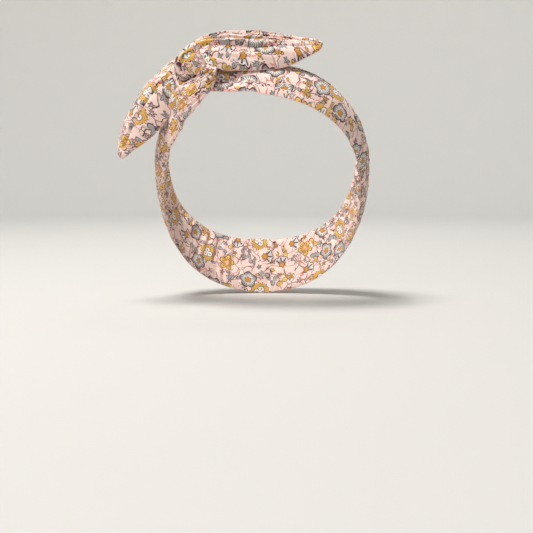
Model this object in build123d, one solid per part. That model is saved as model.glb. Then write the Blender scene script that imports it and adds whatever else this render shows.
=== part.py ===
from build123d import *
import math
import os

# Wired fabric twist headband. One long flat tube of cotton runs from one pointed tip, round the
# head, to the other tip, with a bendable wire along its middle. The two ends are twisted once
# round each other above the wearer's right temple and splay out as two tails.
# Millimetres, +Z up, wearer facing -Y. The origin is the centre of the head at temple height.

os.makedirs("parts", exist_ok=True)

# ---- driving dimensions -------------------------------------------------------------------
TOP_POINT = Vector(0, -51, 89.5)       # centre line of the band over the top of the head
NAPE_POINT = Vector(0, 76, -70)        # centre line of the band under the back of the head
LOOP_HALF_WIDTH = 84.5                 # centre line at the temples, from the middle plane
LOOP_EXPONENT = 2.25                   # 2 is an ellipse, more is squarer
LOOP_START, LOOP_END = -115.0, 172.0   # degrees round the loop from the nape, wearer's right first
LOOP_STEPS = 22

CLOTH = 0.8                            # cotton with its fusible backing
SEAM_SHARE = 0.92                      # beyond this share of the half width both cloths lie together
THREAD = 0.7                           # seam thread, laid along each long edge
WIRE_RADIUS = 0.8
SHEATH_RADIUS = 1.2
SLEEVE_RADIUS = 1.6
EYE_RADIUS = 3.2                       # the wire is bent back into an eye at each end
EYE_OVERLAP = 0.2                      # how far the eye's ring laps the end of the straight wire
EDGE_FALL = 1.6                        # exponent of the edges' fall away from the middle

CLOTH_GAP = 3.0                        # each cloth stops this far from a bend line
WIRE_GAP = 0.8
WIRE_SETBACK = 1.6                     # the wire ends this many keys short of each tip
SLEEVE_SECTIONS = 3                    # the wire's sections that its end sleeve covers
STATION_PITCH = 7.0                    # spacing of the cloths' sections along the tube
WIRE_PITCH = 5.0                       # spacing of the wire's
KEY_STEP = 0.02                        # step along the keys that directions are taken over
LENGTH_STEPS = 40                      # chords that a length is added up from
STITCH_COUNT = 9                       # slip stitches that close the turning gap
STITCH_SHARE = 0.6                     # share of its pitch that each stitch covers
PANEL_SHARES = [-1, -SEAM_SHARE, -0.65, -0.33, 0, 0.33, 0.65, SEAM_SHARE, 1]   # a cloth's corners

# Centre line of the lower tail and its wrap, from the tip to the left arm of the band:
# x, y, z, then outward direction x, y, z, then half width, edge fall and half thickness.
LOWER_END = [
    (-110, -31, 25.5, -0.55, -0.68, 0.48, 4.5, 0.5, 1.6),
    (-106, -31, 41.0, -0.55, -0.66, 0.50, 13, 5.0, 2.6),
    (-98, -31, 58.5, -0.54, -0.64, 0.53, 18, 8.0, 3.4),
    (-88, -31, 74.0, -0.52, -0.62, 0.58, 19, 8.0, 3.8),
    (-77, -32, 86.0, -0.50, -0.58, 0.64, 16, 6.0, 4.2),
    (-66, -32.5, 95, -0.42, -0.55, 0.72, 10.5, 3.0, 4.6),
    (-56, -35, 99.5, -0.25, -0.60, 0.76, 6.6, 1.0, 4.4),
    (-46, -44.5, 99, 0.05, -0.62, 0.78, 6.0, 0.6, 4.3),
    (-38, -55.5, 95.5, 0.45, -0.68, 0.58, 6.0, 0.5, 4.4),
    (-35, -63, 90, 0.72, -0.68, 0.12, 6.0, 0.5, 4.3),
    (-38.5, -64, 83.5, 0.35, -0.93, 0.10, 7.0, 0.6, 4.4),
    (-45.5, -62, 77.5, -0.25, -0.88, 0.40, 8.5, 1.0, 4.2),
    (-54.5, -54, 69.5, -0.50, -0.74, 0.44, 11.0, 2.0, 4.0),
    (-63.5, -41, 62, -0.66, -0.60, 0.43, 15, 3.5, 3.9),
    (-71, -29.5, 53, -0.80, -0.45, 0.40, 17.5, 5.0, 3.7),
]

# Centre line of the other end, from the crown through its wrap to the tip of the upper tail.
UPPER_END = [
    (-5, -53, 89, -0.07, -0.53, 0.84, 22, 6.0, 3.5),
    (-17, -55, 87.3, -0.18, -0.57, 0.80, 17, 4.0, 3.7),
    (-28, -54.5, 86, -0.30, -0.60, 0.74, 12.5, 2.5, 4.0),
    (-38, -51, 85.5, -0.40, -0.62, 0.68, 8.5, 1.2, 4.2),
    (-48, -46.5, 86, -0.48, -0.68, 0.56, 6.8, 0.8, 4.4),
    (-57.5, -46, 89, -0.66, -0.68, 0.33, 6.8, 0.6, 4.6),
    (-62.5, -49, 95, -0.78, -0.60, 0.15, 6.8, 0.6, 4.6),
    (-60.5, -51, 102, -0.66, -0.62, 0.42, 7.0, 0.8, 4.5),
    (-53, -52, 108, -0.40, -0.65, 0.65, 8.5, 1.2, 4.4),
    (-42, -52.5, 111.5, -0.15, -0.72, 0.68, 11.5, 2.5, 4.4),
    (-28, -51, 112, -0.02, -0.76, 0.65, 17, 5.0, 4.2),
    (-13, -50, 111.5, 0.02, -0.78, 0.62, 19, 6.0, 3.8),
    (2, -49, 110.5, 0.03, -0.78, 0.62, 19, 6.0, 3.4),
    (16, -48, 110, 0.03, -0.78, 0.62, 17, 5.5, 3.0),
    (31, -46, 110.5, 0.03, -0.78, 0.62, 11, 3.0, 2.4),
    (46, -44, 111.5, 0.03, -0.78, 0.62, 4.5, 0.5, 1.6),
]

# Band half width and edge fall, and the outward tilt of the cloth, against degrees from the nape.
HALF_WIDTH_PLAN = [(-115, 19), (-90, 20), (-50, 22), (0, 25), (50, 22), (100, 20), (140, 24.5), (172, 24)]
EDGE_FALL_PLAN = [(0, 4), (60, 4.5), (100, 5.5), (140, 8), (172, 7)]
TILT_PLAN = [(0, 30), (60, 8), (100, -2), (180, 7)]
BAND_HALF_THICKNESS = 3.5


# ---- the tube's centre line and its sections ----------------------------------------------
def read_plan(plan, x):
    """Straight-line interpolation in a list of (x, value) pairs."""
    for (x0, y0), (x1, y1) in zip(plan, plan[1:]):
        if x <= x1:
            return y0 + (y1 - y0) * max(0.0, x - x0) / (x1 - x0)
    return plan[-1][1]


def signed_power(value, exponent):
    return math.copysign(abs(value) ** exponent, value)


def loop_key(angle):
    """The band where it goes round the head: a superellipse in a plane that leans back."""
    centre = (TOP_POINT + NAPE_POINT) / 2
    down = (NAPE_POINT - TOP_POINT).normalized()
    across = Vector(0, -down.Z, down.Y)
    half_length = (NAPE_POINT - TOP_POINT).length / 2
    turn = math.radians(angle)
    x = signed_power(math.sin(turn), 2 / LOOP_EXPONENT)
    y = signed_power(math.cos(turn), 2 / LOOP_EXPONENT)
    point = centre + Vector(LOOP_HALF_WIDTH * x, 0, 0) + down * (half_length * y)
    slope_x = signed_power(x, LOOP_EXPONENT - 1) / LOOP_HALF_WIDTH
    slope_y = signed_power(y, LOOP_EXPONENT - 1) / half_length
    radial = (Vector(slope_x, 0, 0) + down * slope_y).normalized()
    tilt = math.radians(read_plan(TILT_PLAN, abs(angle)))
    outward = radial * math.cos(tilt) + across * math.sin(tilt)
    half_width = read_plan(HALF_WIDTH_PLAN, angle)
    fall = read_plan(EDGE_FALL_PLAN, abs(angle))
    return (*point, *outward, half_width, fall, BAND_HALF_THICKNESS)


LOOP_KEYS = [loop_key(LOOP_START + (LOOP_END - LOOP_START) * i / LOOP_STEPS) for i in range(LOOP_STEPS + 1)]
KEYS = LOWER_END + LOOP_KEYS + UPPER_END
LAST = len(KEYS) - 1
LOOP_0 = len(LOWER_END)                # the key where the loop starts
UPPER_0 = LOOP_0 + LOOP_STEPS + 1      # the key where the other end starts


def blend_keys(t):
    """Catmull-Rom spline through the keys at position t, counted in keys from the lower tip."""
    i = min(int(t), LAST - 1)
    f = t - i
    first, second = KEYS[i], KEYS[i + 1]
    before = KEYS[i - 1] if i else [2 * a - b for a, b in zip(first, second)]
    after = KEYS[i + 2] if i + 2 <= LAST else [2 * b - a for a, b in zip(first, second)]
    return [
        0.5 * (2 * b + (c - a) * f + (2 * a - 5 * b + 4 * c - d) * f ** 2 + (3 * b - a - 3 * c + d) * f ** 3)
        for a, b, c, d in zip(before, first, second, after)
    ]


def frame_at(t):
    """Point, direction along, outward direction, width direction, half width, fall, half thickness."""
    values = blend_keys(t)
    ahead = Vector(*blend_keys(min(t + KEY_STEP, LAST))[:3])
    behind = Vector(*blend_keys(max(t - KEY_STEP, 0))[:3])
    along = (ahead - behind).normalized()
    outward = Vector(*values[3:6])
    outward = (outward - along * outward.dot(along)).normalized()
    return Vector(*values[:3]), along, outward, along.cross(outward), *values[6:]


def place(t, across, lift):
    """A point of the section at t: across is in mm along the width, lift in mm outward."""
    point, _, outward, width, half_width, fall, _ = frame_at(t)
    drop = fall * min(1.0, abs(across) / half_width) ** EDGE_FALL
    return point + width * across + outward * (lift - drop)


def length_between(t0, t1):
    shares = [i / LENGTH_STEPS for i in range(LENGTH_STEPS + 1)]
    points = [Vector(*blend_keys(t0 + (t1 - t0) * share)[:3]) for share in shares]
    return sum((b - a).length for a, b in zip(points, points[1:]))


def shifted(t, distance):
    """The position a given distance along the tube from t."""
    ahead = Vector(*blend_keys(t + KEY_STEP)[:3])
    behind = Vector(*blend_keys(t - KEY_STEP)[:3])
    return t + distance * 2 * KEY_STEP / (ahead - behind).length


def stations(t0, t1, pitch=STATION_PITCH):
    count = max(2, round(length_between(t0, t1) / pitch))
    return [t0 + (t1 - t0) * i / count for i in range(count + 1)]


def run_stations(spans):
    """The sections of several cloths that follow on from one another."""
    places = [spans[0][0]]
    for span in spans:
        places += stations(*span)[1:]
    return places


# ---- solids ------------------------------------------------------------------------------
def skin(sections):
    return loft([make_face(Polyline(*points, close=True)) for points in sections], ruled=True)


def cloth_panel(t0, t1, side):
    """One cloth of the tube, side +1 for the face and -1 for the lining. The two cloths lie
    together along the seam allowances and stand apart in the middle, where the wire runs."""
    sections = []
    for t in stations(t0, t1):
        half_width, half_thickness = frame_at(t)[4], frame_at(t)[6]
        puff = [(half_thickness - CLOTH) * max(0.0, 1 - (s / SEAM_SHARE) ** 2) for s in PANEL_SHARES]
        inner = [place(t, s * half_width, side * p) for s, p in zip(PANEL_SHARES, puff)]
        outer = [place(t, s * half_width, side * (p + CLOTH)) for s, p in zip(PANEL_SHARES, puff)]
        sections.append(inner + outer[::-1])
    return skin(sections)


def thread_section(t, edge):
    """A square of thread against one long edge, where the two cloths meet."""
    start = frame_at(t)[4] * edge
    corners = [(0, -THREAD / 2), (0, THREAD / 2), (THREAD, THREAD / 2), (THREAD, -THREAD / 2)]
    return [place(t, start + edge * out, lift) for out, lift in corners]


def edge_thread(places, edge):
    return skin([thread_section(t, edge) for t in places])


def edge_stitch(t0, t1, edge):
    """One stitch of the hand-sewn seam, over the middle of the stretch from t0 to t1."""
    margin = (1 - STITCH_SHARE) / 2
    pairs = list(zip(thread_section(t0, edge), thread_section(t1, edge)))
    return skin([[a + (b - a) * share for a, b in pairs] for share in (margin, 1 - margin)])


def section_planes(places):
    frames = [frame_at(t) for t in places]
    return [Plane(origin=f[0], x_dir=f[2], z_dir=f[1]) for f in frames]


def wire_run(places, radius):
    """A round run along the centre line."""
    return loft([(plane * Circle(radius)).face() for plane in section_planes(places)], ruled=True)


def sheath_run(places, radius=SHEATH_RADIUS):
    """A close-fitting tube round the wire: outer wall, inner wall and a ring at each end."""
    walls = [face for r in (radius, WIRE_RADIUS) for face in wire_run(places, r).faces()]
    walls = [face for face in walls if face.geom_type != GeomType.PLANE]
    rings = []
    for plane in (section_planes(places)[0], section_planes(places)[-1]):
        rings.append((plane * (Circle(radius) - Circle(WIRE_RADIUS))).face())
    return Solid(Shell(walls + rings))


def wire_eye(t, direction):
    """The ring that the end of the wire is bent into, just beyond t, flat in the cloth."""
    point, along, outward, *_ = frame_at(t)
    centre = point + along * (direction * (EYE_RADIUS - EYE_OVERLAP))
    return Plane(origin=centre, x_dir=along, z_dir=outward) * Torus(EYE_RADIUS, WIRE_RADIUS)


def tip_tack(t, direction):
    """The bar of thread that closes the tip, square across the end of both cloths."""
    point, along, outward, width, half_width, *_ = frame_at(t)
    bar = Box(2 * half_width, THREAD, 2 * CLOTH)
    centre = point + along * (direction * THREAD / 2)
    return Plane(origin=centre, x_dir=width, z_dir=outward) * bar


def write(name, *shapes):
    solids = [solid for shape in shapes for solid in shape.solids()]
    shape = solids[0] if len(solids) == 1 else Compound(children=solids)
    shape.label = name
    export_step(shape, f"parts/{name}.step")


# ---- where the long pieces are divided -----------------------------------------------------
LOWER_FOLD = 3.0                       # bend line half way along the lower tail
LOWER_ROOT = 5.4                       # bend line where the lower tail leaves the twist
UPPER_ROOT = UPPER_0 + 9.2             # the same two for the upper tail
UPPER_FOLD = UPPER_0 + 12.0
GAP_EDGE = -1                          # the turning gap is in the lower edge at the nape

BAND = {
    "left_wrap": (shifted(LOWER_ROOT, CLOTH_GAP), 13.0),
    "left_top": (13.0, LOOP_0 + 2.0),
    "left_side": (LOOP_0 + 2.0, LOOP_0 + 5.5),
    "nape": (LOOP_0 + 5.5, LOOP_0 + 12.1),
    "right_side": (LOOP_0 + 12.1, LOOP_0 + 15.6),
    "right_top": (LOOP_0 + 15.6, LOOP_0 + 19.2),
    "crown": (LOOP_0 + 19.2, UPPER_0 + 1.0),
    "right_wrap": (UPPER_0 + 1.0, shifted(UPPER_ROOT, -CLOTH_GAP)),
}
TAILS = {
    "lower_tail_tip": (0.0, LOWER_FOLD),
    "lower_tail_base": (LOWER_FOLD, LOWER_ROOT),
    "upper_tail_base": (UPPER_ROOT, UPPER_FOLD),
    "upper_tail_tip": (UPPER_FOLD, float(LAST)),
}


def write_cloths(prefix, t0, t1):
    write(f"{prefix}_face_panel", cloth_panel(t0, t1, 1))
    write(f"{prefix}_lining_panel", cloth_panel(t0, t1, -1))


def write_band():
    for name, (t0, t1) in BAND.items():
        write_cloths(f"band_{name}", t0, t1)
    left = run_stations([BAND[name] for name in ("left_wrap", "left_top", "left_side")])
    right = run_stations([BAND[name] for name in ("right_side", "right_top", "crown", "right_wrap")])
    write("band_left_seam_thread", *[edge_thread(left, edge) for edge in (-1, 1)])
    write("band_right_seam_thread", *[edge_thread(right, edge) for edge in (-1, 1)])

    # The machine seam stops either side of the gap that the tube was turned through.
    nape = stations(*BAND["nape"])
    gap_start = (len(nape) - 1 - STITCH_COUNT) // 2
    gap_end = gap_start + STITCH_COUNT
    machine_seams = [edge_thread(nape, -GAP_EDGE)]
    machine_seams += [edge_thread(run, GAP_EDGE) for run in (nape[:gap_start + 1], nape[gap_end:])]
    write("band_nape_seam_thread", *machine_seams)
    gap = nape[gap_start:gap_end + 1]
    write("turning_gap_slip_stitches", *[edge_stitch(t0, t1, GAP_EDGE) for t0, t1 in zip(gap, gap[1:])])

    # The wire runs on through the bend lines, so it stops closer to them than the cloth.
    wire_places = stations(shifted(LOWER_ROOT, WIRE_GAP), shifted(UPPER_ROOT, -WIRE_GAP), WIRE_PITCH)
    write("band_wire_core", wire_run(wire_places, WIRE_RADIUS))
    write("band_wire_sheath", sheath_run(wire_places))


def write_tail(name, t0, t1):
    """One half of a tail. A tip half also holds the wire's eye, its sleeve and the tip tack."""
    at_start, at_end = t0 == 0.0, t1 == float(LAST)
    cloth_0 = t0 if at_start else shifted(t0, CLOTH_GAP)
    cloth_1 = t1 if at_end else shifted(t1, -CLOTH_GAP)
    write_cloths(name, cloth_0, cloth_1)
    edge_places = stations(cloth_0, cloth_1)
    write(f"{name}_seam_thread", *[edge_thread(edge_places, edge) for edge in (-1, 1)])

    wire_0 = WIRE_SETBACK if at_start else shifted(t0, WIRE_GAP)
    wire_1 = LAST - WIRE_SETBACK if at_end else shifted(t1, -WIRE_GAP)
    places = stations(wire_0, wire_1, WIRE_PITCH)
    core = wire_run(places, WIRE_RADIUS)
    if not (at_start or at_end):
        write(f"{name}_wire_core", core)
        write(f"{name}_wire_sheath", sheath_run(places))
        return

    # The sleeve covers the end stretch of the wire, and the sheath stops where it starts.
    tip, away = (0.0, -1) if at_start else (float(LAST), 1)
    inward = places if at_start else places[::-1]
    sleeve = sorted(inward[1:SLEEVE_SECTIONS + 1])
    sheath = sorted(inward[SLEEVE_SECTIONS:])
    eye_end = wire_0 if at_start else wire_1
    write(f"{name}_wire_core", core + wire_eye(eye_end, away))
    write(f"{name}_wire_sheath", sheath_run(sheath))
    write(f"{name}_wire_end_sleeve", sheath_run(sleeve, SLEEVE_RADIUS))
    write(f"{name}_tack", tip_tack(tip, away))


write_band()
for tail_name, (tail_start, tail_end) in TAILS.items():
    write_tail(tail_name, tail_start, tail_end)

for bend_name, bend in [("lower_root", LOWER_ROOT), ("lower_fold", LOWER_FOLD),
                        ("upper_root", UPPER_ROOT), ("upper_fold", UPPER_FOLD)]:
    hinge_point, _, _, hinge_axis, *_ = frame_at(bend)
    print(bend_name, [round(c, 3) for c in hinge_point], [round(c, 4) for c in hinge_axis])
print("tube length", round(sum(length_between(i, i + 1) for i in range(LAST)), 1))
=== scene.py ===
"""Looks for the wired twist headband: printed cotton tube, seams, stitches, wire and photo set."""
import math

import bpy
import numpy as np
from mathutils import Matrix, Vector


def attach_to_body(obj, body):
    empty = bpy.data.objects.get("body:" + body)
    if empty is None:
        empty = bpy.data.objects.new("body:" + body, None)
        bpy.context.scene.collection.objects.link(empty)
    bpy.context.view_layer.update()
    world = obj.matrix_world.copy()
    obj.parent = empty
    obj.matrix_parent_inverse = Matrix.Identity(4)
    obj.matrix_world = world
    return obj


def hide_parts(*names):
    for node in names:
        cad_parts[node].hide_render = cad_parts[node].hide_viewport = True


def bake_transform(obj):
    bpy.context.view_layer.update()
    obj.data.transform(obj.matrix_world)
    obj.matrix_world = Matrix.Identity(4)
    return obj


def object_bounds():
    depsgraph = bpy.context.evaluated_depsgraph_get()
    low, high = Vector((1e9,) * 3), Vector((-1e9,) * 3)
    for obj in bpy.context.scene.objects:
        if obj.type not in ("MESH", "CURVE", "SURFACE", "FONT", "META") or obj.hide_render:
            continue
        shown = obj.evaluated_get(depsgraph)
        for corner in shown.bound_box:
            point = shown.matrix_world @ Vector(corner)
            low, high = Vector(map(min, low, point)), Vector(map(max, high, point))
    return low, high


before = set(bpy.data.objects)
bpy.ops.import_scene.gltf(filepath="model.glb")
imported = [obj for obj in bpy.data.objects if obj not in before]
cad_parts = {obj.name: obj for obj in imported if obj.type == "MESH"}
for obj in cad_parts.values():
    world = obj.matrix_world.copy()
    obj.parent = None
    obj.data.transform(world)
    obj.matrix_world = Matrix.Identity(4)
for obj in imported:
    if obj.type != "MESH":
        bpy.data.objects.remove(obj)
bounds_at_load = [[float(v) for v in corner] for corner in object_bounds()]

# ---- the tube's centre line, in millimetres, as the CAD has it -----------------------------
TOP_POINT = np.array((0.0, -51.0, 89.5))
NAPE_POINT = np.array((0.0, 76.0, -70.0))
LOOP_HALF_WIDTH = 84.5
LOOP_EXPONENT = 2.25
LOOP_START, LOOP_END = -115.0, 172.0
LOOP_STEPS = 22

# Keys of the two ends: x, y, z, outward direction x, y, z, half width, edge fall, half thickness.
LOWER_END = [
    (-110, -31, 25.5, -0.55, -0.68, 0.48, 4.5, 0.5, 1.6),
    (-106, -31, 41.0, -0.55, -0.66, 0.50, 13, 5.0, 2.6),
    (-98, -31, 58.5, -0.54, -0.64, 0.53, 18, 8.0, 3.4),
    (-88, -31, 74.0, -0.52, -0.62, 0.58, 19, 8.0, 3.8),
    (-77, -32, 86.0, -0.50, -0.58, 0.64, 16, 6.0, 4.2),
    (-66, -32.5, 95, -0.42, -0.55, 0.72, 10.5, 3.0, 4.6),
    (-56, -35, 99.5, -0.25, -0.60, 0.76, 6.6, 1.0, 4.4),
    (-46, -44.5, 99, 0.05, -0.62, 0.78, 6.0, 0.6, 4.3),
    (-38, -55.5, 95.5, 0.45, -0.68, 0.58, 6.0, 0.5, 4.4),
    (-35, -63, 90, 0.72, -0.68, 0.12, 6.0, 0.5, 4.3),
    (-38.5, -64, 83.5, 0.35, -0.93, 0.10, 7.0, 0.6, 4.4),
    (-45.5, -62, 77.5, -0.25, -0.88, 0.40, 8.5, 1.0, 4.2),
    (-54.5, -54, 69.5, -0.50, -0.74, 0.44, 11.0, 2.0, 4.0),
    (-63.5, -41, 62, -0.66, -0.60, 0.43, 15, 3.5, 3.9),
    (-71, -29.5, 53, -0.80, -0.45, 0.40, 17.5, 5.0, 3.7),
]
UPPER_END = [
    (-5, -53, 89, -0.07, -0.53, 0.84, 22, 6.0, 3.5),
    (-17, -55, 87.3, -0.18, -0.57, 0.80, 17, 4.0, 3.7),
    (-28, -54.5, 86, -0.30, -0.60, 0.74, 12.5, 2.5, 4.0),
    (-38, -51, 85.5, -0.40, -0.62, 0.68, 8.5, 1.2, 4.2),
    (-48, -46.5, 86, -0.48, -0.68, 0.56, 6.8, 0.8, 4.4),
    (-57.5, -46, 89, -0.66, -0.68, 0.33, 6.8, 0.6, 4.6),
    (-62.5, -49, 95, -0.78, -0.60, 0.15, 6.8, 0.6, 4.6),
    (-60.5, -51, 102, -0.66, -0.62, 0.42, 7.0, 0.8, 4.5),
    (-53, -52, 108, -0.40, -0.65, 0.65, 8.5, 1.2, 4.4),
    (-42, -52.5, 111.5, -0.15, -0.72, 0.68, 11.5, 2.5, 4.4),
    (-28, -51, 112, -0.02, -0.76, 0.65, 17, 5.0, 4.2),
    (-13, -50, 111.5, 0.02, -0.78, 0.62, 19, 6.0, 3.8),
    (2, -49, 110.5, 0.03, -0.78, 0.62, 19, 6.0, 3.4),
    (16, -48, 110, 0.03, -0.78, 0.62, 17, 5.5, 3.0),
    (31, -46, 110.5, 0.03, -0.78, 0.62, 11, 3.0, 2.4),
    (46, -44, 111.5, 0.03, -0.78, 0.62, 4.5, 0.5, 1.6),
]
# The same for the loop, by angle in degrees from the top point.
HALF_WIDTH_PLAN = [(-115, 19), (-90, 20), (-50, 22), (0, 25), (50, 22), (100, 20), (140, 24.5), (172, 24)]
EDGE_FALL_PLAN = [(0, 4), (60, 4.5), (100, 5.5), (140, 8), (172, 7)]
TILT_PLAN = [(0, 30), (60, 8), (100, -2), (180, 7)]
BAND_HALF_THICKNESS = 3.5
# The bend lines, by key.
LOWER_FOLD, LOWER_ROOT = 3.0, 5.4
UPPER_ROOT, UPPER_FOLD = 47.2, 50.0

SHEATH_RADIUS = 1.2
KEY_STEP = 0.02            # step for tangents, in keys
LENGTH_STEPS = 8000        # steps for measuring the centre line
NOISE_CELLS = 256
MM = 0.001                 # metres


def plan(pairs, x):
    """Straight-line interpolation of (position, value) pairs."""
    return np.interp(x, [p[0] for p in pairs], [p[1] for p in pairs])


def unit(v):
    """Vectors at length 1."""
    return v / np.linalg.norm(v, axis=-1, keepdims=True)


def signed_power(value, exponent):
    """Power of the size of a value, with the value's sign."""
    return math.copysign(abs(value) ** exponent, value)


def loop_key(angle):
    """The band round the head: a superellipse in a plane that leans back."""
    centre = (TOP_POINT + NAPE_POINT) / 2
    half_length = np.linalg.norm(NAPE_POINT - TOP_POINT) / 2
    down = unit(NAPE_POINT - TOP_POINT)
    across = np.array((0, -down[2], down[1]))
    turn = math.radians(angle)
    x = signed_power(math.sin(turn), 2 / LOOP_EXPONENT)
    y = signed_power(math.cos(turn), 2 / LOOP_EXPONENT)
    point = centre + np.array((LOOP_HALF_WIDTH * x, 0, 0)) + down * (half_length * y)
    slope_x = signed_power(x, LOOP_EXPONENT - 1) / LOOP_HALF_WIDTH
    slope_y = signed_power(y, LOOP_EXPONENT - 1) / half_length
    radial = unit(np.array((slope_x, 0, 0)) + down * slope_y)
    tilt = math.radians(plan(TILT_PLAN, abs(angle)))
    outward = radial * math.cos(tilt) + across * math.sin(tilt)
    shape = (plan(HALF_WIDTH_PLAN, angle), plan(EDGE_FALL_PLAN, abs(angle)), BAND_HALF_THICKNESS)
    return (*point, *outward, *shape)


LOOP_TURN = LOOP_END - LOOP_START
LOOP = [loop_key(LOOP_START + LOOP_TURN * i / LOOP_STEPS) for i in range(LOOP_STEPS + 1)]
KEYS = np.array(LOWER_END + LOOP + UPPER_END, float)
LAST = len(KEYS) - 1
PADDED = np.vstack([2 * KEYS[0] - KEYS[1], KEYS, 2 * KEYS[-1] - KEYS[-2]])


def spline(t):
    """Catmull-Rom spline through the keys, at positions t counted in keys."""
    t = np.clip(np.atleast_1d(np.asarray(t, float)), 0, LAST)
    i = np.minimum(t.astype(int), LAST - 1)
    f = (t - i)[:, None]
    a, b, c, d = PADDED[i], PADDED[i + 1], PADDED[i + 2], PADDED[i + 3]
    square, cube = 2 * a - 5 * b + 4 * c - d, 3 * b - a - 3 * c + d
    return 0.5 * (2 * b + (c - a) * f + square * f ** 2 + cube * f ** 3)


FINE_T = np.linspace(0, LAST, LENGTH_STEPS)
FINE_P = spline(FINE_T)[:, :3]
FINE_STEP = np.linalg.norm(np.diff(FINE_P, axis=0), axis=1)
FINE_S = np.concatenate([[0], np.cumsum(FINE_STEP)])
TUBE_LENGTH = FINE_S[-1]


def length_at(t):
    """Length along the centre line at key t."""
    return np.interp(t, FINE_T, FINE_S)


def key_at(s):
    """Key at length s along the centre line."""
    return np.interp(s, FINE_S, FINE_T)


def frames(t):
    """Points, outward and width directions, half widths, falls and half thicknesses at t."""
    values = spline(t)
    before, after = np.maximum(t - KEY_STEP, 0), np.minimum(t + KEY_STEP, LAST)
    along = unit(spline(after)[:, :3] - spline(before)[:, :3])
    outward = values[:, 3:6]
    outward = unit(outward - along * (outward * along).sum(1, keepdims=True))
    return values[:, :3], outward, np.cross(along, outward), values[:, 6], values[:, 7], values[:, 8]


def noise(x, y, seed):
    """Smooth value noise from -1 to 1 with one cell per unit."""
    table = np.random.default_rng(seed).uniform(-1, 1, (NOISE_CELLS, NOISE_CELLS))
    x, y = np.broadcast_arrays(np.asarray(x, float), np.asarray(y, float))
    i, j = np.floor(x).astype(int), np.floor(y).astype(int)
    u, v = x - i, y - j
    u, v = u ** 3 * (u * (6 * u - 15) + 10), v ** 3 * (v * (6 * v - 15) + 10)
    i0, i1 = i % NOISE_CELLS, (i + 1) % NOISE_CELLS
    j0, j1 = j % NOISE_CELLS, (j + 1) % NOISE_CELLS
    low = table[i0, j0] * (1 - u) + table[i1, j0] * u
    high = table[i0, j1] * (1 - u) + table[i1, j1] * u
    return low * (1 - v) + high * v


# ---- where the cloth is divided, and its rows and columns ----------------------------------
ROW_PITCH = 1.25
TIP_ROWS = np.array([0, 0.1, 0.35, 0.8])   # extra rows at each tip, by their distance from it
TIP_ROUND = 4.5            # the tips are closed by a curve this long
TIP_OPEN = 0.0004          # and never quite to nothing
BEND_REACH = 7.0           # the cloth bends over this length either side of a bend line
CUT_CLEAR = 8.0            # and is divided this far from one
CUTS = [
    0.0,
    length_at(LOWER_FOLD) + CUT_CLEAR,
    length_at(LOWER_ROOT) + CUT_CLEAR,
    length_at(UPPER_ROOT) - CUT_CLEAR,
    length_at(UPPER_FOLD) - CUT_CLEAR,
    TUBE_LENGTH,
]
PIECES = ["lower_tail_end", "lower_tail_root", "band", "upper_tail_root", "upper_tail_end"]
S, STARTS = TIP_ROWS, [0]
for s0, s1 in zip(CUTS, CUTS[1:]):
    run = np.linspace(s0, s1, round((s1 - s0) / ROW_PITCH) + 1)[1:]
    if s1 == TUBE_LENGTH:
        run = np.concatenate([run[:-1], TUBE_LENGTH - TIP_ROWS[::-1]])
    S = np.concatenate([S, run])
    STARTS.append(len(S) - 1)
T = key_at(S)
POINT, OUTWARD, WIDTH, HALF, FALL, THICK = frames(T)
ALONG = np.cross(OUTWARD, WIDTH)
to_tip = np.minimum(S, TUBE_LENGTH - S)
CLOSE = np.sqrt(1 - (1 - np.clip(to_tip / TIP_ROUND, TIP_OPEN, 1)) ** 2)
# In the twist the cloth spreads wider than the CAD's plain rope, by these amounts on the two
# sides of the wire.
BACK_SPREAD = plan([
    (3.5, 0), (4, 2), (5, 9), (6, 10), (7, 6), (8, 0), (9, -2.6), (10, -2), (11, 0), (12, 0.5), (13, 0),
    (39, 0), (40, 1), (41, 2), (42, 4), (43, 6), (44, 1), (45, -2), (46, 0),
], T)
FRONT_SPREAD = plan([
    (3.5, 0), (4, 2), (5, 8), (6, 8), (7, 4), (8, 0), (9, 0), (10, 2), (11, 2), (12, 3), (13, 1), (13.5, 0),
    (38, 0), (39, 3), (41, 5), (44, 2), (45, 3), (46, 9), (47, 10), (48, 7), (49, 3.5), (50, 1), (51, 0),
], T)
# How much further its edges bend towards the head than the CAD's.
CURL = plan([
    (4, 0), (6, 2.5), (8, 2.5), (9, 1), (12, 0), (38.5, 0), (41, 2), (46, 2.5), (48, 1), (49.5, 0),
], T)
# Where the left arm comes down from the twist its upper edge stands out from the head, in degrees.
STAND_OUT = plan([(11, 0), (12, 35), (13, 45), (13.6, 42), (14, 32), (14.7, 12), (15.4, 0)], T)
STAND_OUT = np.radians(STAND_OUT)[:, None]
# The upper strand's face swells where it comes round from under the lower one.
SWELL = plan([(41, 0), (42.3, 3.5), (45, 3.5), (46.5, 1.5), (48, 2.6), (51, 2.4), (52.5, 0)], T)
# The upper strand's pleats all run in to one point under the lower strand.
GATHER_POINT = np.array((-38.0, -62.5, 88.5))
DRAWN_IN = plan([(41.2, 0), (42.4, 1), (45.8, 1), (47.2, 0)], T)[:, None]
DRAWN_IN = DRAWN_IN ** 2 * (3 - 2 * DRAWN_IN)
FALL = (FALL + CURL) * CLOSE
THICK = THICK * CLOSE
BACK = -WIDTH * ((HALF + BACK_SPREAD) * CLOSE)[:, None]
FRONT = WIDTH * np.cos(STAND_OUT) + OUTWARD * np.sin(STAND_OUT)
FRONT = FRONT * ((HALF + FRONT_SPREAD) * CLOSE)[:, None] * (1 - DRAWN_IN)
FRONT = FRONT + (GATHER_POINT - POINT) * DRAWN_IN
BACK_WIDE = np.linalg.norm(BACK, axis=1)[:, None]
FRONT_WIDE = np.linalg.norm(FRONT, axis=1)[:, None]
HALF = (BACK_WIDE + FRONT_WIDE)[:, 0] / 2

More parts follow.
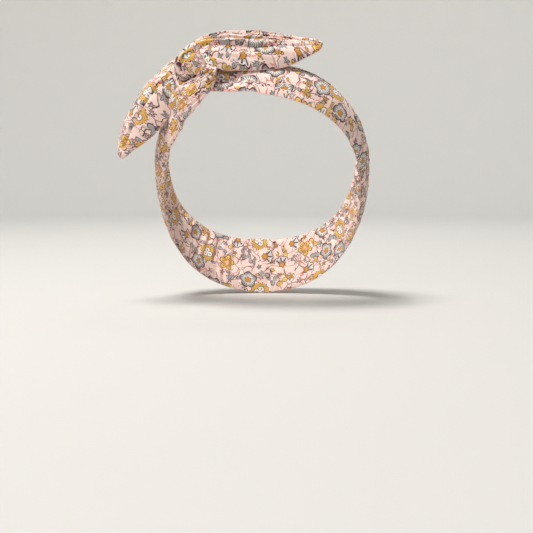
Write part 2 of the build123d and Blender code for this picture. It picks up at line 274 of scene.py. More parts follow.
# How gathered the cloth is, 0 flat to 1 in the twist.
GATHER = plan([
    (0, 0.1), (2, 0.15), (4, 0.45), (5.4, 0.85), (7, 1), (11, 1), (12, 0.6), (14, 0.35), (17, 0.25),
    (22, 0.18), (30, 0.18), (35, 0.3), (38, 0.7), (40, 1), (47, 1), (49, 0.7), (51, 0.4), (53, 0.15),
], T)
# The lower tail turns back along its lower edge, as a lip.
LIP = plan([(0, 0), (0.7, 0.7), (1.5, 1), (4.2, 1), (5.4, 0)], T)
LIP_START = 0.34           # where the lip begins, from 0 at the wire to 1 at the edge

# Creases of the face, each by key: where it runs across the width (-1 to 1), how deep it is in
# millimetres, and which of its sides is steep.
FACE_CREASES = [
    ([(0, -0.76)],
     [(3.8, 0), (4.6, 1.8), (6, 3), (10, 2.2), (12, 0.9), (14, 0.9), (17, 0.5), (20, 0),
      (33, 0), (35, 1.2), (38, 2.2), (41, 3), (46.5, 3), (48.5, 3.2), (51, 2), (52.5, 0)], 1),
    ([(46, -0.5), (49, -0.46), (53, -0.5)],
     [(3.4, 0), (4.6, 2), (6, 3.6), (10, 2.4), (12, 1), (14.5, 0.8), (18, 0.6), (20, 0),
      (36, 0), (38, 2.2), (41, 3), (46.5, 3.4), (49, 4), (51.6, 2.4), (52.7, 0)], 1),
    ([(46, -0.22), (49, -0.18), (51.5, -0.3)],
     [(3.2, 0), (4.8, 1.8), (6, 3), (10, 2), (12, 0.7), (15, 0),
      (38, 0), (40, 2), (42, 2.4), (46.5, 3), (49, 3.6), (51, 2), (52.2, 0)], 1),
    # the lower tail's lip crease, and at the other end the upper tail's long V crease
    ([(0, 0.1), (1, 0.3), (3.6, 0.34), (5, 0.25), (7, 0.2),
      (46, 0.2), (48, 0.1), (49.5, 0.16), (51, -0.02), (52.4, 0.08), (53, 0.1)],
     [(0.2, 0), (0.8, 2), (1.4, 3), (3.4, 3.2), (5.2, 2.4), (10, 2), (11.5, 0.3), (13.5, 0),
      (39, 0), (41, 2), (46, 2.8), (47.6, 4.5), (49, 6.4), (51.5, 5), (52.7, 1), (53, 0)], 1),
    # the long crease of the right arm
    ([(0, 0.47), (26, 0.5), (30, 0.55), (36, 0.55), (39, 0.47)],
     [(3.6, 0), (5, 2.4), (6, 3), (10, 2), (11.5, 0.6), (17, 0.6), (19, 0),
      (27, 0), (29, 1.4), (31, 2.8), (35, 3.2), (37, 2.6), (39, 2.6),
      (46.5, 3.6), (48.3, 2.6), (50.2, 0)], -1),
    ([(0, 0.76)],
     [(4, 0), (5.2, 2), (6.5, 2.4), (10, 2), (12, 0.6), (14, 0.6), (16, 0),
      (37, 0), (39, 2), (41, 2.6), (46.5, 2.6), (48, 1.4), (49.4, 0)], -1),
]
LINING_DEPTH = 1.25        # depth of the lining's creases, as a multiple of the face's
LINING_CREASES = [
    ([(t, -v) for t, v in where], [(t, LINING_DEPTH * d) for t, d in depth], -steep)
    for where, depth, steep in FACE_CREASES[::-1]
]
CREASE_SHORT, CREASE_LONG = 0.6, 5.5       # how far a crease reaches on its steep and gentle sides
CREASE_CLOTH = 2.6                         # cloth hidden in a crease, per depth
FACE_PUCKER, LINING_PUCKER = 0.4, 2.6      # height of the puckers across the width
WIRE_COVER = 0.9                           # least distance from the sheath to the cloth
LEAST_LIFT = 0.35                          # least distance from a cloth to the middle of the tube
COLUMN_GAPS = 11                           # columns between one crease and the next
EDGE_CROWDING = 1.7                        # how much closer the columns are at the edges
PRINT_SHIFT = (0.311, 0.083)               # the lining's place in the print, in metres


def columns(count):
    """Column parameters from -1 to 1, closer near the edges, with a column on every crease."""
    marks = np.linspace(-1, 1, count + 2)
    parts = []
    for k, (a, b) in enumerate(zip(marks, marks[1:])):
        f = np.linspace(0, 1, COLUMN_GAPS + 1)[:-1]
        if k == 0:
            f = f ** EDGE_CROWDING
        if k == count:
            f = 1 - (1 - f) ** EDGE_CROWDING
        parts.append(a + (b - a) * f)
    return np.concatenate(parts + [[1.0]]), marks


def from_wire(v):
    """Distance across the cloth from the wire, in millimetres."""
    return np.where(v < 0, v * BACK_WIDE, v * FRONT_WIDE)


def cloth_side(side, creases, seed):
    """One cloth of the tube, side 1 for the face and -1 for the lining: places across the width
    from -1 to 1, heights over the middle of the tube, and the flat pattern's position across the
    cloth to the left and right of every column."""
    spaced, marks = columns(len(creases))
    where, depth = np.empty((2, len(T), len(creases)))
    for k, (place, deep, _) in enumerate(creases):
        where[:, k] = plan(place, T) + 0.05 * noise(S / 42, k * 3.7, seed + 1)
        depth[:, k] = plan(deep, T) * (1 + 0.3 * noise(S / 26, k * 5.3, seed + 2))
    edge = np.ones((len(T), 1))
    v = np.stack([np.interp(spaced, marks, row) for row in np.hstack([-edge, where, edge])])
    x = from_wire(v)

    gather, s = GATHER[:, None], S[:, None]
    power = 0.6 + 0.15 * gather
    thick = THICK + SWELL if side > 0 else THICK
    lift = thick[:, None] * np.maximum(0, 1 - v ** 2) ** power
    for k, (_, _, steep) in enumerate(creases):
        d = (x - from_wire(where[:, k:k + 1])) * steep
        reach = np.minimum(CREASE_LONG, 0.3 * HALF[:, None])
        lift -= depth[:, k:k + 1] * np.where(d > 0, np.exp(-d / reach), np.exp(d / CREASE_SHORT))
    inside = 1 - v ** 8
    # Fine gathers along the tube, unevenness, and puckers across the width. The lining is on the
    # inside of the loop's curve, so it puckers more.
    fine = gather * 0.55 * (1 - 2 * np.abs(noise(s / 24, x / 2.6, seed + 3)))
    fine = fine + (0.15 + 0.25 * gather) * noise(s / 9, x / 6, seed + 4)
    fine = fine + 0.10 * noise(s / 3.1, x / 3.4, seed + 5)
    pucker = FACE_PUCKER if side > 0 else LINING_PUCKER
    fine = fine + pucker * (0.5 + 0.4 * gather) * noise(s / 3.6, x / 15, seed + 6)
    lift += fine * inside
    # The cloth lies over the wire and never goes through the other cloth.
    over_wire = np.sqrt(np.maximum(0, (SHEATH_RADIUS + WIRE_COVER) ** 2 - x ** 2))
    over_wire = over_wire * (CLOSE[:, None] > 0.99)
    lift = np.maximum(lift, np.maximum(over_wire, LEAST_LIFT * CLOSE[:, None] * inside))

    run = x - x[:, :1]
    run -= run[:, -1:] / 2
    hidden = depth * CREASE_CLOTH
    left, right = run.copy(), run.copy()
    for k in range(len(creases)):
        column = (k + 1) * COLUMN_GAPS
        left[:, column + 1:] += hidden[:, k:k + 1]
        right[:, column:] += hidden[:, k:k + 1]
    middle = hidden.sum(1, keepdims=True) / 2
    return v, lift * side, left - middle, right - middle


def mid_surface(v):
    """Points half way between the two cloths."""
    a = np.abs(v)
    even = a ** 1.6
    turned = np.maximum(0, (a - LIP_START) / (1 - LIP_START)) ** 1.1
    lip = np.where(v > 0, 0.1 * a + 1.6 * turned, 0.75 * a ** 1.8)
    drop = even + LIP[:, None] * (lip - even)
    wave = 0.7 * noise(S[:, None] / 38, v * 1.3, 11) * a * (1 - 0.5 * GATHER[:, None])
    uneven = 1 + 0.02 * noise(S / 17, 2.5, 12)[:, None] + 0.015 * noise(S / 5.5, 6.5, 13)[:, None]
    back = np.maximum(-v, 0) * uneven
    front = np.maximum(v, 0) * (1 + (uneven - 1) * (1 - DRAWN_IN))
    lift = wave * CLOSE[:, None] - FALL[:, None] * drop
    across = BACK[:, None] * back[..., None] + FRONT[:, None] * front[..., None]
    return POINT[:, None] + across + OUTWARD[:, None] * lift[..., None]


def cloth_points(side, creases, seed):
    """One cloth's points, and the flat pattern left and right of every column."""
    v, lift, left, right = cloth_side(side, creases, seed)
    return mid_surface(v) + OUTWARD[:, None] * lift[..., None], left, right


def grid_normals(points, side):
    """Outward normals of a grid of points, which run on from one piece to the next."""
    down, across = np.gradient(points, axis=0), np.gradient(points, axis=1)
    n = np.cross(across, down) * side
    size = np.linalg.norm(n, axis=2, keepdims=True)
    return n / np.maximum(size, 1e-9)


# ---- meshes --------------------------------------------------------------------------------
def new_object(name, verts, faces, material, normals=None, uvs=None):
    """A smooth mesh object from points in millimetres."""
    mesh = bpy.data.meshes.new(name)
    mesh.vertices.add(len(verts))
    mesh.vertices.foreach_set("co", np.asarray(verts, np.float32).ravel() * MM)
    sizes = np.array([len(f) for f in faces], np.int32)
    corners = np.concatenate([np.asarray(f) for f in faces]).astype(np.int32)
    face_starts = np.concatenate([[0], np.cumsum(sizes)[:-1]]).astype(np.int32)
    mesh.loops.add(len(corners))
    mesh.loops.foreach_set("vertex_index", corners)
    mesh.polygons.add(len(faces))
    mesh.polygons.foreach_set("loop_start", face_starts)
    mesh.polygons.foreach_set("loop_total", sizes)
    mesh.polygons.foreach_set("use_smooth", np.ones(len(faces), bool))
    mesh.update(calc_edges=True)
    mesh.validate()
    if uvs is not None:
        layer = mesh.uv_layers.new(name="flat_pattern")
        layer.data.foreach_set("uv", np.asarray(uvs, np.float32).ravel())
    if normals is not None:
        mesh.normals_split_custom_set_from_vertices(np.asarray(normals, np.float32).tolist())
    mesh.materials.append(material)
    obj = bpy.data.objects.new(name, mesh)
    bpy.context.scene.collection.objects.link(obj)
    return obj


def cloth_object(name, side, cloth, first, last, material):
    """The rows first to last of a cloth as one mesh, with the flat pattern as its UV map."""
    points, normals, left, right = cloth
    p, n = points[first:last + 1], normals[first:last + 1]
    nr, nc = p.shape[:2]
    index = np.arange(nr * nc).reshape(nr, nc)
    a, b, c, d = index[:-1, :-1], index[1:, :-1], index[1:, 1:], index[:-1, 1:]
    quads = np.stack([a, d, c, b] if side > 0 else [a, b, c, d], -1).reshape(-1, 4)
    s = S[first:last + 1, None]
    lo, hi = right[first:last + 1, :-1], left[first:last + 1, 1:]
    s0, s1 = np.broadcast_to(s[:-1], lo[:-1].shape), np.broadcast_to(s[1:], lo[1:].shape)
    ua, ub = np.stack([s0, lo[:-1]], -1), np.stack([s1, lo[1:]], -1)
    uc, ud = np.stack([s1, hi[1:]], -1), np.stack([s0, hi[:-1]], -1)
    uv = np.stack([ua, ud, uc, ub] if side > 0 else [ua, ub, uc, ud], -2).reshape(-1, 2) * MM
    if side < 0:
        uv = uv + np.array(PRINT_SHIFT)
    return new_object(name, p.reshape(-1, 3), quads, material, n.reshape(-1, 3), uv)


TUBE_SIDES = 6


def tube_mesh(paths):
    """Vertices and faces of closed tubes, each path a pair of points and radii."""
    verts, faces = [], []
    ring = np.linspace(0, 2 * math.pi, TUBE_SIDES, endpoint=False)
    for points, radii in paths:
        points, radii = np.asarray(points, float), np.asarray(radii, float)
        tangent = unit(np.gradient(points, axis=0))
        upright = np.abs(tangent[:, 2:3]) >= 0.8
        u = unit(np.cross(tangent, np.where(upright, [[1.0, 0, 0]], [[0, 0, 1.0]])))
        w = np.cross(tangent, u)
        circle = u[:, None] * np.cos(ring)[:, None] + w[:, None] * np.sin(ring)[:, None]
        v = points[:, None] + circle * radii[:, None, None]
        base = len(verts)
        verts.extend(v.reshape(-1, 3))
        for low in range(base, base + (len(points) - 1) * TUBE_SIDES, TUBE_SIDES):
            high = low + TUBE_SIDES
            for j in range(TUBE_SIDES):
                k = (j + 1) % TUBE_SIDES
                faces.append((low + j, low + k, high + k, high + j))
        faces.append(tuple(range(base, base + TUBE_SIDES))[::-1])
        faces.append(tuple(range(len(verts) - TUBE_SIDES, len(verts))))
    return verts, faces


# ---- materials -----------------------------------------------------------------------------
class Value:
    """A number or vector socket in a node tree, so that formulas read as formulas."""

    def __init__(self, nodes, socket):
        self.nodes, self.socket = nodes, socket

    def __add__(self, other):
        return self.nodes.math("ADD", self, other)

    def __sub__(self, other):
        return self.nodes.math("SUBTRACT", self, other)

    def __rsub__(self, other):
        return self.nodes.math("SUBTRACT", other, self)

    def __mul__(self, other):
        return self.nodes.math("MULTIPLY", self, other)

    __radd__ = __add__
    __rmul__ = __mul__


class Nodes:
    """A material and short ways of adding nodes to it."""

    def __init__(self, name):
        self.material = bpy.data.materials.new(name)
        self.material.use_nodes = True
        self.tree = self.material.node_tree
        self.shader = self.tree.nodes["Principled BSDF"]

    def feed(self, socket, value):
        if isinstance(value, Value):
            self.tree.links.new(value.socket, socket)
        elif isinstance(value, bpy.types.NodeSocket):
            self.tree.links.new(value, socket)
        else:
            socket.default_value = value

    def add(self, kind, inputs=(), **settings):
        node = self.tree.nodes.new(kind)
        for key, value in settings.items():
            setattr(node, key, value)
        for key, value in dict(inputs).items():
            self.feed(node.inputs[key], value)
        return node

    def math(self, operation, a, b=0.0, c=0.0, clamp=False):
        node = self.add("ShaderNodeMath", {0: a, 1: b, 2: c}, operation=operation, use_clamp=clamp)
        return Value(self, node.outputs[0])

    def vector(self, operation, a, b=(0, 0, 0), output="Vector"):
        node = self.add("ShaderNodeVectorMath", operation=operation)
        self.feed(node.inputs[0], a)
        self.feed(node.inputs["Scale" if operation == "SCALE" else 1], b)
        return Value(self, node.outputs[output])

    def split(self, vector):
        node = self.add("ShaderNodeSeparateXYZ", {0: vector})
        return [Value(self, node.outputs[i]) for i in range(3)]

    def join(self, x, y, z=0.0):
        return Value(self, self.add("ShaderNodeCombineXYZ", {0: x, 1: y, 2: z}).outputs[0])

    def noise(self, vector, scale, detail=2.0, output="Fac"):
        node = self.add("ShaderNodeTexNoise", {"Vector": vector, "Scale": scale, "Detail": detail})
        return Value(self, node.outputs[output])

    def mix(self, factor, a, b):
        node = self.add("ShaderNodeMix", data_type="RGBA")
        self.feed(node.inputs["Factor"], factor)
        self.feed(node.inputs[6], a)
        self.feed(node.inputs[7], b)
        return Value(self, node.outputs[2])

    def below(self, distance, limit=0.0, soft=0.25):
        """1 where distance is under limit, 0 above it, over a soft edge."""
        inside = self.math("SUBTRACT", limit, distance)
        return self.math("MULTIPLY_ADD", inside, 1 / soft, 0.5, clamp=True)

    def band(self, distance, centre, width, soft=0.25):
        """1 where distance is within width of centre, over soft edges."""
        return self.below(self.math("ABSOLUTE", distance - centre), width, soft)


def srgb(r, g, b):
    """8-bit display colour to a linear RGBA tuple."""
    def linear(c):
        c /= 255
        return c / 12.92 if c <= 0.04045 else ((c + 0.055) / 1.055) ** 2.4
    return (linear(r), linear(g), linear(b), 1.0)


# The print's colours.
PINK = srgb(243, 218, 209)
PINK_DEEP = srgb(235, 202, 192)
CORAL = srgb(214, 132, 126)
PLUM = srgb(88, 38, 52)
MUSTARD = srgb(204, 144, 56)
YELLOW = srgb(234, 194, 106)
GREY = srgb(98, 99, 98)
PALE_GREY = srgb(172, 170, 167)
WHITE = srgb(238, 230, 225)
SALMON = srgb(234, 172, 150)


# The print, in millimetres on the flat cut.
PRINT_TURN = 0.45          # its angle to the tube, in radians
VINES = (                  # cell size, colour, half width, scale of the gaps, share that is drawn
    (24, CORAL, 0.4, 0.045, 0.5),
    (15, PLUM, 0.3, 0.07, 0.61),
    (19, CORAL, 0.3, 0.06, 0.5),
    (11, PLUM, 0.22, 0.09, 0.51),
)
BIG_CELL, BIG_REACH = 21.5, 8.2                           # spacing and reach of the big motifs
SMALL_CELLS = ((8.2, 4.0), (11.5, 31.0), (14.0, 57.0))    # spacing and shift of the small ones
WEAVE_PITCH = 0.42


def printed_cotton(name):
    """Cotton with a generic floral print, from the flat pattern's UV map."""
    n = Nodes(name)
    coords = n.add("ShaderNodeUVMap", uv_map="flat_pattern")
    flat = n.vector("SCALE", coords.outputs["UV"], 1 / MM)
    turned = n.add("ShaderNodeVectorRotate", {"Vector": flat, "Angle": PRINT_TURN}, rotation_type="Z_AXIS")
    mm = Value(n, turned.outputs[0])

    def shaken(position, scale, distance):
        """The position moved about by a smooth noise."""
        offset = n.vector("SUBTRACT", n.noise(mm, scale, 1.0, "Color"), (0.5, 0.5, 0.5))
        return n.vector("ADD", position, n.vector("SCALE", offset, distance))

    drawn = shaken(mm, 0.35, 1.3)
    curled = shaken(drawn, 0.09, 13.0)

    def cells(position, randomness, feature="F1"):
        return n.add("ShaderNodeTexVoronoi", {"Vector": position, "Scale": 1.0, "Randomness": randomness},
                     voronoi_dimensions="2D", feature=feature)

    def polar(position, size, randomness):
        """Distance and angle from the nearest motif's middle, and that motif's random numbers."""
        scaled = n.vector("SCALE", position, 1 / size)
        node = cells(scaled, randomness)
        pick = n.split(node.outputs["Color"])
        offset = n.vector("SCALE", n.vector("SUBTRACT", scaled, node.outputs["Position"]), size)
        x, y, _ = n.split(offset)
        radius = n.vector("LENGTH", offset, output="Value")
        angle = n.math("ARCTAN2", y, x) + pick[0] * math.tau
        return radius, angle, pick

    def wave(angle, count, phase=0.0):
        return n.math("COSINE", angle * count + phase)

    def petals(angle, count, phase=0.0):
        """The same with its hollows turned up, for round petals. Each count gives two."""
        return n.math("ABSOLUTE", wave(angle, count, phase))

    def paint(mask, tint):
        nonlocal colour
        colour = n.mix(mask, colour, tint)

    # ground, slightly uneven
    colour = n.mix(n.noise(mm, 0.06, 3.0), PINK, PINK_DEEP)

    # vines: the edges of curled cells, each broken up
    for size, tint, half, patch, keep in VINES:
        place = n.vector("ADD", curled, (size * 3.1, size * 1.7, 0))
        edge = cells(n.vector("SCALE", place, 1 / size), 1.0, "DISTANCE_TO_EDGE")
        line = n.below(Value(n, edge.outputs["Distance"]) * float(size), half, 0.3)
        kept = n.below(n.noise(n.vector("ADD", mm, (size, 0, 0)), patch, 1.0), keep, 0.03)
        paint(line * kept, tint)

    big_r, big_a, big = polar(drawn, BIG_CELL, 0.6)
    free = n.below(BIG_REACH, big_r, 0.3)

    # small leaves, buds and blossoms in the free ground
    for size, shift in SMALL_CELLS:
        r, a, pick = polar(n.vector("ADD", drawn, (shift, shift * 2, 0)), size, 0.8)
        bloom = 2.9 * (size / 11) * (0.68 + 0.32 * wave(a, 5.0))
        leaf = 4.3 * (size / 11) * n.math("POWER", petals(a, 1.0), 2.2)
        is_bloom = n.below(pick[1], 0.36, 0.02)
        edge = is_bloom * bloom + (1 - is_bloom) * leaf
        grey_or_salmon = n.mix(n.below(pick[2], 0.7, 0.02), PINK_DEEP, PALE_GREY)
        yellow = n.mix(n.below(r, 1.6, 2.0), YELLOW, MUSTARD)
        fill = n.mix(n.below(pick[2], 0.27, 0.02), grey_or_salmon, yellow)
        here = free * n.below(pick[1] * 0.5 + pick[2] * 0.5, 0.56, 0.02)
        within = n.below(r, edge)
        paint(here * within, fill)
        paint(here * (within * n.band(r - edge * 0.55, 0.0, 0.16, 0.3)), GREY)
        paint(here * n.band(r - edge, 0.0, 0.4), n.mix(n.below(pick[0], 0.7, 0.02), GREY, PLUM))

    # scalloped mustard disc with a white trefoil
    disc = n.below(big[1], 0.2, 0.01)
    rim = 7.7 + 0.4 * wave(big_a, 14.0)
    lobes = 2.7 + 2.0 * petals(big_a, 1.5)
    paint(disc * n.below(big_r, rim), n.mix(n.noise(mm, 0.8, 2.0), YELLOW, MUSTARD))
    paint(disc * (n.band(big_r - rim, 0.1, 0.4) * n.below(0.0, wave(big_a, 28.0), 0.6)), PLUM)
    paint(disc * n.band(big_r, 6.3, 0.14), n.mix(0.5, YELLOW, PLUM))
    paint(disc * n.below(big_r, lobes + 0.7), GREY)
    paint(disc * n.below(big_r, lobes), WHITE)
    paint(disc * (n.band(big_r, 2.2, 1.2) * n.below(0.66, wave(big_a, 6.0), 0.3)), PLUM)

    # open grey and white flower, its petals veined
    flower = n.below(n.math("ABSOLUTE", big[1] - 0.37), 0.17, 0.01)
    outer = 5.6 + 2.0 * petals(big_a, 2.5)
    eye = 2.3 + 0.5 * wave(big_a, 5.0)
    paint(flower * n.below(big_r, outer), n.mix(n.below(big_r, 5.6, 3.0), GREY, WHITE))
    paint(flower * n.band(big_r - outer, 0.0, 0.44), PLUM)
    paint(flower * (n.band(big_r, 4.3, 1.8) * n.below(0.5, wave(big_a, 20.0), 0.5)), GREY)
    paint(flower * n.below(big_r, eye), MUSTARD)
    paint(flower * n.band(big_r - eye, 0.1, 0.22), PLUM)

    # mustard blossom with a salmon throat
    blossom = n.below(n.math("ABSOLUTE", big[1] - 0.62), 0.08, 0.01)
    outer = 3.9 + 3.2 * petals(big_a, 2.5, 0.4)
    paint(blossom * n.below(big_r, outer), n.mix(n.below(big_r, 3.6, 4.0), YELLOW, MUSTARD))
    paint(blossom * n.band(big_r - outer, 0.0, 0.34), PLUM)
    paint(blossom * n.below(big_r, 1.9 + 0.7 * wave(big_a, 3.0)), SALMON)
    paint(blossom * (n.band(big_r, 3.7, 1.3) * n.below(0.72, wave(big_a, 15.0), 0.4)), PLUM)

    # half-open flower: a fan of grey and white petals over a mustard cup
    fan = n.below(0.70, big[1], 0.01)
    half_turn = n.math("ABSOLUTE", n.math("WRAP", big_a, math.pi, -math.pi))
    spread = fan * n.below(half_turn, 1.25, 0.06)
    outer = 7.0 + 1.0 * petals(big_a, 4.0)
    cup = 2.6 + 0.5 * wave(big_a, 6.0)
    paint(spread * n.below(big_r, outer), n.mix(n.below(big_r, 5.0, 4.0), WHITE, PALE_GREY))
    paint(spread * n.band(big_r - outer, 0.0, 0.4), PLUM)
    paint(spread * (n.band(big_r, 4.9, 2.0) * n.below(0.6, wave(big_a, 8.0), 0.3)), PLUM)
    paint(fan * n.below(big_r, cup), MUSTARD)
    paint(fan * n.band(big_r - cup, 0.0, 0.36), PLUM)

    # plain weave: two sets of threads, and slubs
    x, y, _ = n.split(flat)
    thread = 2 * math.pi / WEAVE_PITCH
    weave = n.math("SINE", x * thread) * n.math("SINE", y * thread)
    slub = n.noise(n.vector("MULTIPLY", n.join(x, y), (0.25, 2.2, 1.0)), 1.0, 2.0)
    grain = n.math("MULTIPLY_ADD", n.noise(n.join(x, y), 2.4, 3.0), 0.10, 0.95)
    colour = n.vector("MULTIPLY", colour, n.join(grain, grain, grain))
    height = weave * 0.5 + slub * 0.8
    bump = n.add("ShaderNodeBump", {"Height": height, "Strength": 0.35, "Distance": 0.00012})

    n.feed(n.shader.inputs["Base Color"], colour)
    n.feed(n.shader.inputs["Normal"], bump.outputs["Normal"])
    n.shader.inputs["Roughness"].default_value = 0.86
    n.shader.inputs["Specular IOR Level"].default_value = 0.25
    n.shader.inputs["Sheen Weight"].default_value = 0.18
    n.shader.inputs["Sheen Roughness"].default_value = 0.5
    n.shader.inputs["Sheen Tint"].default_value = (1.0, 0.93, 0.9, 1.0)
    return n.material


def simple_material(name, tint, dark, roughness, scale, metallic=0.0):
    """A plain material with a little unevenness in its colour, gloss and surface."""
    n = Nodes(name)
    coords = n.add("ShaderNodeTexCoord")
    spots = n.noise(coords.outputs["Object"], scale, 4.0)
    n.feed(n.shader.inputs["Base Color"], n.mix(spots, tint, dark))
    n.feed(n.shader.inputs["Roughness"], spots * 0.2 + (roughness - 0.1))
    ridge = n.add("ShaderNodeBump", {"Height": spots, "Strength": 0.2, "Distance": 0.0001})
    n.feed(n.shader.inputs["Normal"], ridge.outputs["Normal"])
    n.shader.inputs["Metallic"].default_value = metallic
    n.shader.inputs["Specular IOR Level"].default_value = 0.4
    return n.material


cotton = printed_cotton("printed_cotton")
thread_material = simple_material("sewing_thread", srgb(236, 196, 184), srgb(214, 168, 156), 0.8, 900.0)
INNER_MATERIALS = {        # by the end of the node's name
    "wire_core": simple_material(
        "wire_steel", (0.55, 0.55, 0.56, 1), (0.42, 0.42, 0.43, 1), 0.35, 700.0, metallic=1.0),
    "wire_sheath": simple_material("sheath_plastic", srgb(236, 236, 230), srgb(222, 222, 215), 0.5, 300.0),
    "wire_end_sleeve": simple_material("sleeve_plastic", srgb(34, 34, 36), srgb(24, 24, 26), 0.35, 300.0),
}

# ---- the cloth -----------------------------------------------------------------------------
CLOTHS = {}
for side_name, side, creases, seed in (("face", 1, FACE_CREASES, 20), ("lining", -1, LINING_CREASES, 60)):
    points, left, right = cloth_points(side, creases, seed)
    CLOTHS[side_name] = side, (points, grid_normals(points, side), left, right)


def row_point(t):
    """A point of the centre line in metres."""
    return tuple(spline(t)[0, :3] * MM)


# Bodies each side of a piece's bend line, the line's key, and the bend's reach towards the second.
BENDS = {
    "lower_tail_end": ("lower_tail_base", "lower_tail_tip", LOWER_FOLD, -BEND_REACH),
    "lower_tail_root": ("band", "lower_tail_base", LOWER_ROOT, -BEND_REACH),
    "upper_tail_root": ("band", "upper_tail_base", UPPER_ROOT, BEND_REACH),
    "upper_tail_end": ("upper_tail_base", "upper_tail_tip", UPPER_FOLD, BEND_REACH),
}


def attach(obj, piece):
    """Rides on the band, or, for any other piece, has its place baked into its mesh."""
    if piece == "band":
        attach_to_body(obj, "band")
    else:
        a, b, line, reach = BENDS[piece]
        start, end = key_at(length_at(line) - reach), key_at(length_at(line) + reach)
        row_point(start)
        row_point(end)
        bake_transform(obj)


NODE_PREFIX = {
    "lower_tail_end": "lower_tail_tip", "lower_tail_root": "lower_tail_base", "band": "band",
    "upper_tail_root": "upper_tail_base", "upper_tail_end": "upper_tail_tip",
}


def stands_for(piece, ending):
    """The CAD nodes of a piece's stretch whose names have this ending."""
    prefix = NODE_PREFIX[piece] + "_"
    return [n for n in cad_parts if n.startswith(prefix) and n.endswith(ending)]


for piece, first, last in zip(PIECES, STARTS, STARTS[1:]):
    for side_name, (side, cloth) in CLOTHS.items():
        obj = cloth_object(f"{piece}_{side_name}_cloth", side, cloth, first, last, cotton)
        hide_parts(*stands_for(piece, f"{side_name}_panel"))
        "printed_cotton" if side > 0 else "cotton_lining"
        attach(obj, piece)

# ---- seams, stitches and tacks -------------------------------------------------------------
EDGES = {edge: mid_surface(np.full((len(S), 1), float(edge)))[:, 0] for edge in (-1, 1)}
STITCH = np.where(np.arange(len(S)) % 3 == 2, 0.10, 0.26)     # the thread's radius, row by row
STITCH_OUT = 0.12          # how far the seam's thread stands out from the edge
SKIP_END = 4               # rows without stitches at a tip
GAP_KEY, GAP_ROWS = 23.8, 26       # middle and half length of the turning gap
GAP_STITCHES = 16
gap_middle = int(np.argmin(np.abs(T - GAP_KEY)))
gap_first, gap_last = gap_middle - GAP_ROWS, gap_middle + GAP_ROWS

for piece, first, last in zip(PIECES, STARTS, STARTS[1:]):
    runs = []
    for edge, line in EDGES.items():
        line = line + WIDTH * (STITCH_OUT * edge)
        a = first + (SKIP_END if first == 0 else 0)
        b = last - (SKIP_END if last == len(S) - 1 else 0)
        spans = [(a, gap_first), (gap_last, b)] if piece == "band" and edge < 0 else [(a, b)]
        runs += [(line[i:j + 1], STITCH[i:j + 1]) for i, j in spans]
    obj = new_object(f"{piece}_seam_stitches", *tube_mesh(runs), thread_material)
    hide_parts(*stands_for(piece, "seam_thread"))
    attach(obj, piece)

# Each slip stitch is an arch over the edge, from one cloth to the other and a little along it.
ARCH = ((-1, 0.9), (-0.5, 0), (0, -0.15), (0.5, 0), (1, 0.9))     # across the edge, and inwards
slip = []
for k in range(GAP_STITCHES):
    i = gap_first + 1 + round(k * (gap_last - gap_first - 3) / (GAP_STITCHES - 1))
    edge = EDGES[-1][i] - WIDTH[i] * 0.25
    half = OUTWARD[i] * 1.1 + ALONG[i] * (0.55 if k % 2 else 0.75)
    path = [edge + half * over + WIDTH[i] * inward for over, inward in ARCH]
    slip.append((path, np.full(len(path), 0.24)))
obj = new_object("turning_gap_stitches", *tube_mesh(slip), thread_material)
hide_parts("turning_gap_slip_stitches")
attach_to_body(obj, "band")

# A tack is a row of short bars side by side over the tip's face.
TACK_BARS, TACK_PITCH = 9, 0.42
BAR = ((0.0, 1.0), (0.5, 1.12), (1.1, 1.12), (1.6, 1.0))          # along the tube, and height
for tail, row, inward in (("lower", 6, 1), ("upper", len(S) - 7, -1)):
    bars = []
    for k in range(TACK_BARS):
        middle = POINT[row] + WIDTH[row] * ((k - TACK_BARS // 2) * TACK_PITCH)
        path = [middle + ALONG[row] * (inward * shift) + OUTWARD[row] * (THICK[row] * 0.98 * height)
                for shift, height in BAR]
        bars.append((path, np.full(len(path), 0.2)))
    obj = new_object(f"{tail}_tail_tip_stitches", *tube_mesh(bars), thread_material)
    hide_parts(f"{tail}_tail_tip_tack")
    attach(obj, f"{tail}_tail_end")

# The wire inside keeps the CAD's shapes.
for name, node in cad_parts.items():
    for ending, material in INNER_MATERIALS.items():
        if name.endswith(ending):
            node.data.materials.clear()
            node.data.materials.append(material)

# ---- floor, light and camera ---------------------------------------------------------------
# A round floor that curves up into a wall all round, so that every view has the same paper.
FLOOR = bounds_at_load[0][2]
FLOOR_RADIUS, CORNER_RADIUS, WALL_TOP = 1.5, 0.7, 2.6
TURNS, CORNER_STEPS = 96, 17
profile = [(FLOOR_RADIUS + CORNER_RADIUS * math.sin(a), FLOOR + CORNER_RADIUS * (1 - math.cos(a)))
           for a in np.linspace(0, math.pi / 2, CORNER_STEPS + 1)]
profile.append((FLOOR_RADIUS + CORNER_RADIUS, WALL_TOP))
angles = np.linspace(0, 2 * math.pi, TURNS, endpoint=False)
studio_verts = [(r * math.cos(a), r * math.sin(a), z) for r, z in profile for a in angles]
studio_faces = [tuple(range(TURNS))]
for low in range(0, TURNS * (len(profile) - 1), TURNS):
    high = low + TURNS
    for j in range(TURNS):
        k = (j + 1) % TURNS
        studio_faces.append((high + j, high + k, low + k, low + j))
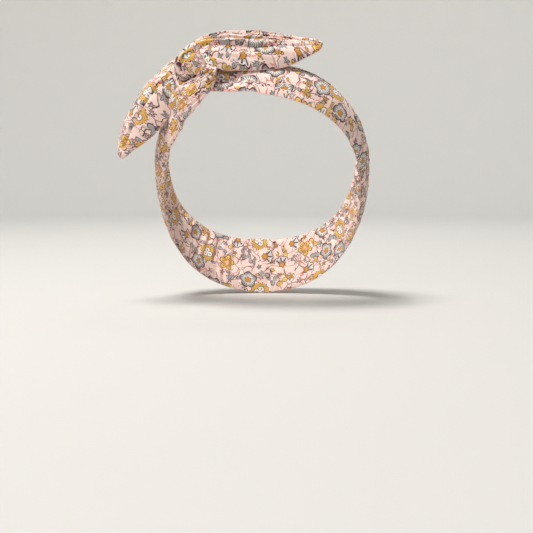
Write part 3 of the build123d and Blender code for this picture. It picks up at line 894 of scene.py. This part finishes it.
paper = Nodes("studio_paper")
paper.shader.inputs["Base Color"].default_value = srgb(204, 202, 198)
paper.shader.inputs["Roughness"].default_value = 0.95
studio_mesh = bpy.data.meshes.new("studio_bowl")
studio_mesh.from_pydata(studio_verts, [], studio_faces)
studio_mesh.polygons.foreach_set("use_smooth", [True] * len(studio_faces))
studio_mesh.materials.append(paper.material)
studio = bpy.data.objects.new("studio_bowl", studio_mesh)
bpy.context.scene.collection.objects.link(studio)


def area_light(name, place, target, size, power, tint):
    """A rectangular lamp at place, facing target, in metres and watts."""
    data = bpy.data.lights.new(name, "AREA")
    data.shape = "RECTANGLE"
    data.size, data.size_y = size
    data.energy = power
    data.color = tint
    obj = bpy.data.objects.new(name, data)
    obj.location = place
    toward = np.array(target) - np.array(place)
    obj.rotation_euler = Vector(toward).to_track_quat("-Z", "Y").to_euler()
    bpy.context.scene.collection.objects.link(obj)


area_light("window", (-0.45, -0.45, 1.6), (0, 0, 0.05), (0.6, 0.6), 35, (1.0, 0.985, 0.96))
area_light("fill", (-0.7, -1.95, 0.9), (0, 0, 0.03), (1.2, 1.0), 6, (0.97, 0.985, 1.0))
area_light("back", (0.2, 0.6, 1.5), (0, 2.2, 0.5), (1.6, 0.8), 15, (0.97, 1.0, 1.0))

world = bpy.data.worlds.new("studio_air")
world.use_nodes = True
world.node_tree.nodes["Background"].inputs["Color"].default_value = (0.93, 0.95, 1.0, 1.0)
world.node_tree.nodes["Background"].inputs["Strength"].default_value = 0.3
bpy.context.scene.world = world
bpy.context.scene.view_settings.view_transform = "Standard"

CAMERA_PITCH = 5.7         # degrees down from level
camera = bpy.data.cameras.new("camera")
camera.sensor_width = 36.0
camera.lens = 66.4
camera.clip_start, camera.clip_end = 0.05, 20.0
eye = bpy.data.objects.new("camera", camera)
eye.location = (0.0036, -0.8, 0.0176)
eye.rotation_euler = (math.radians(90 - CAMERA_PITCH), 0.0, 0.0)
bpy.context.scene.collection.objects.link(eye)
bpy.context.scene.camera = eye
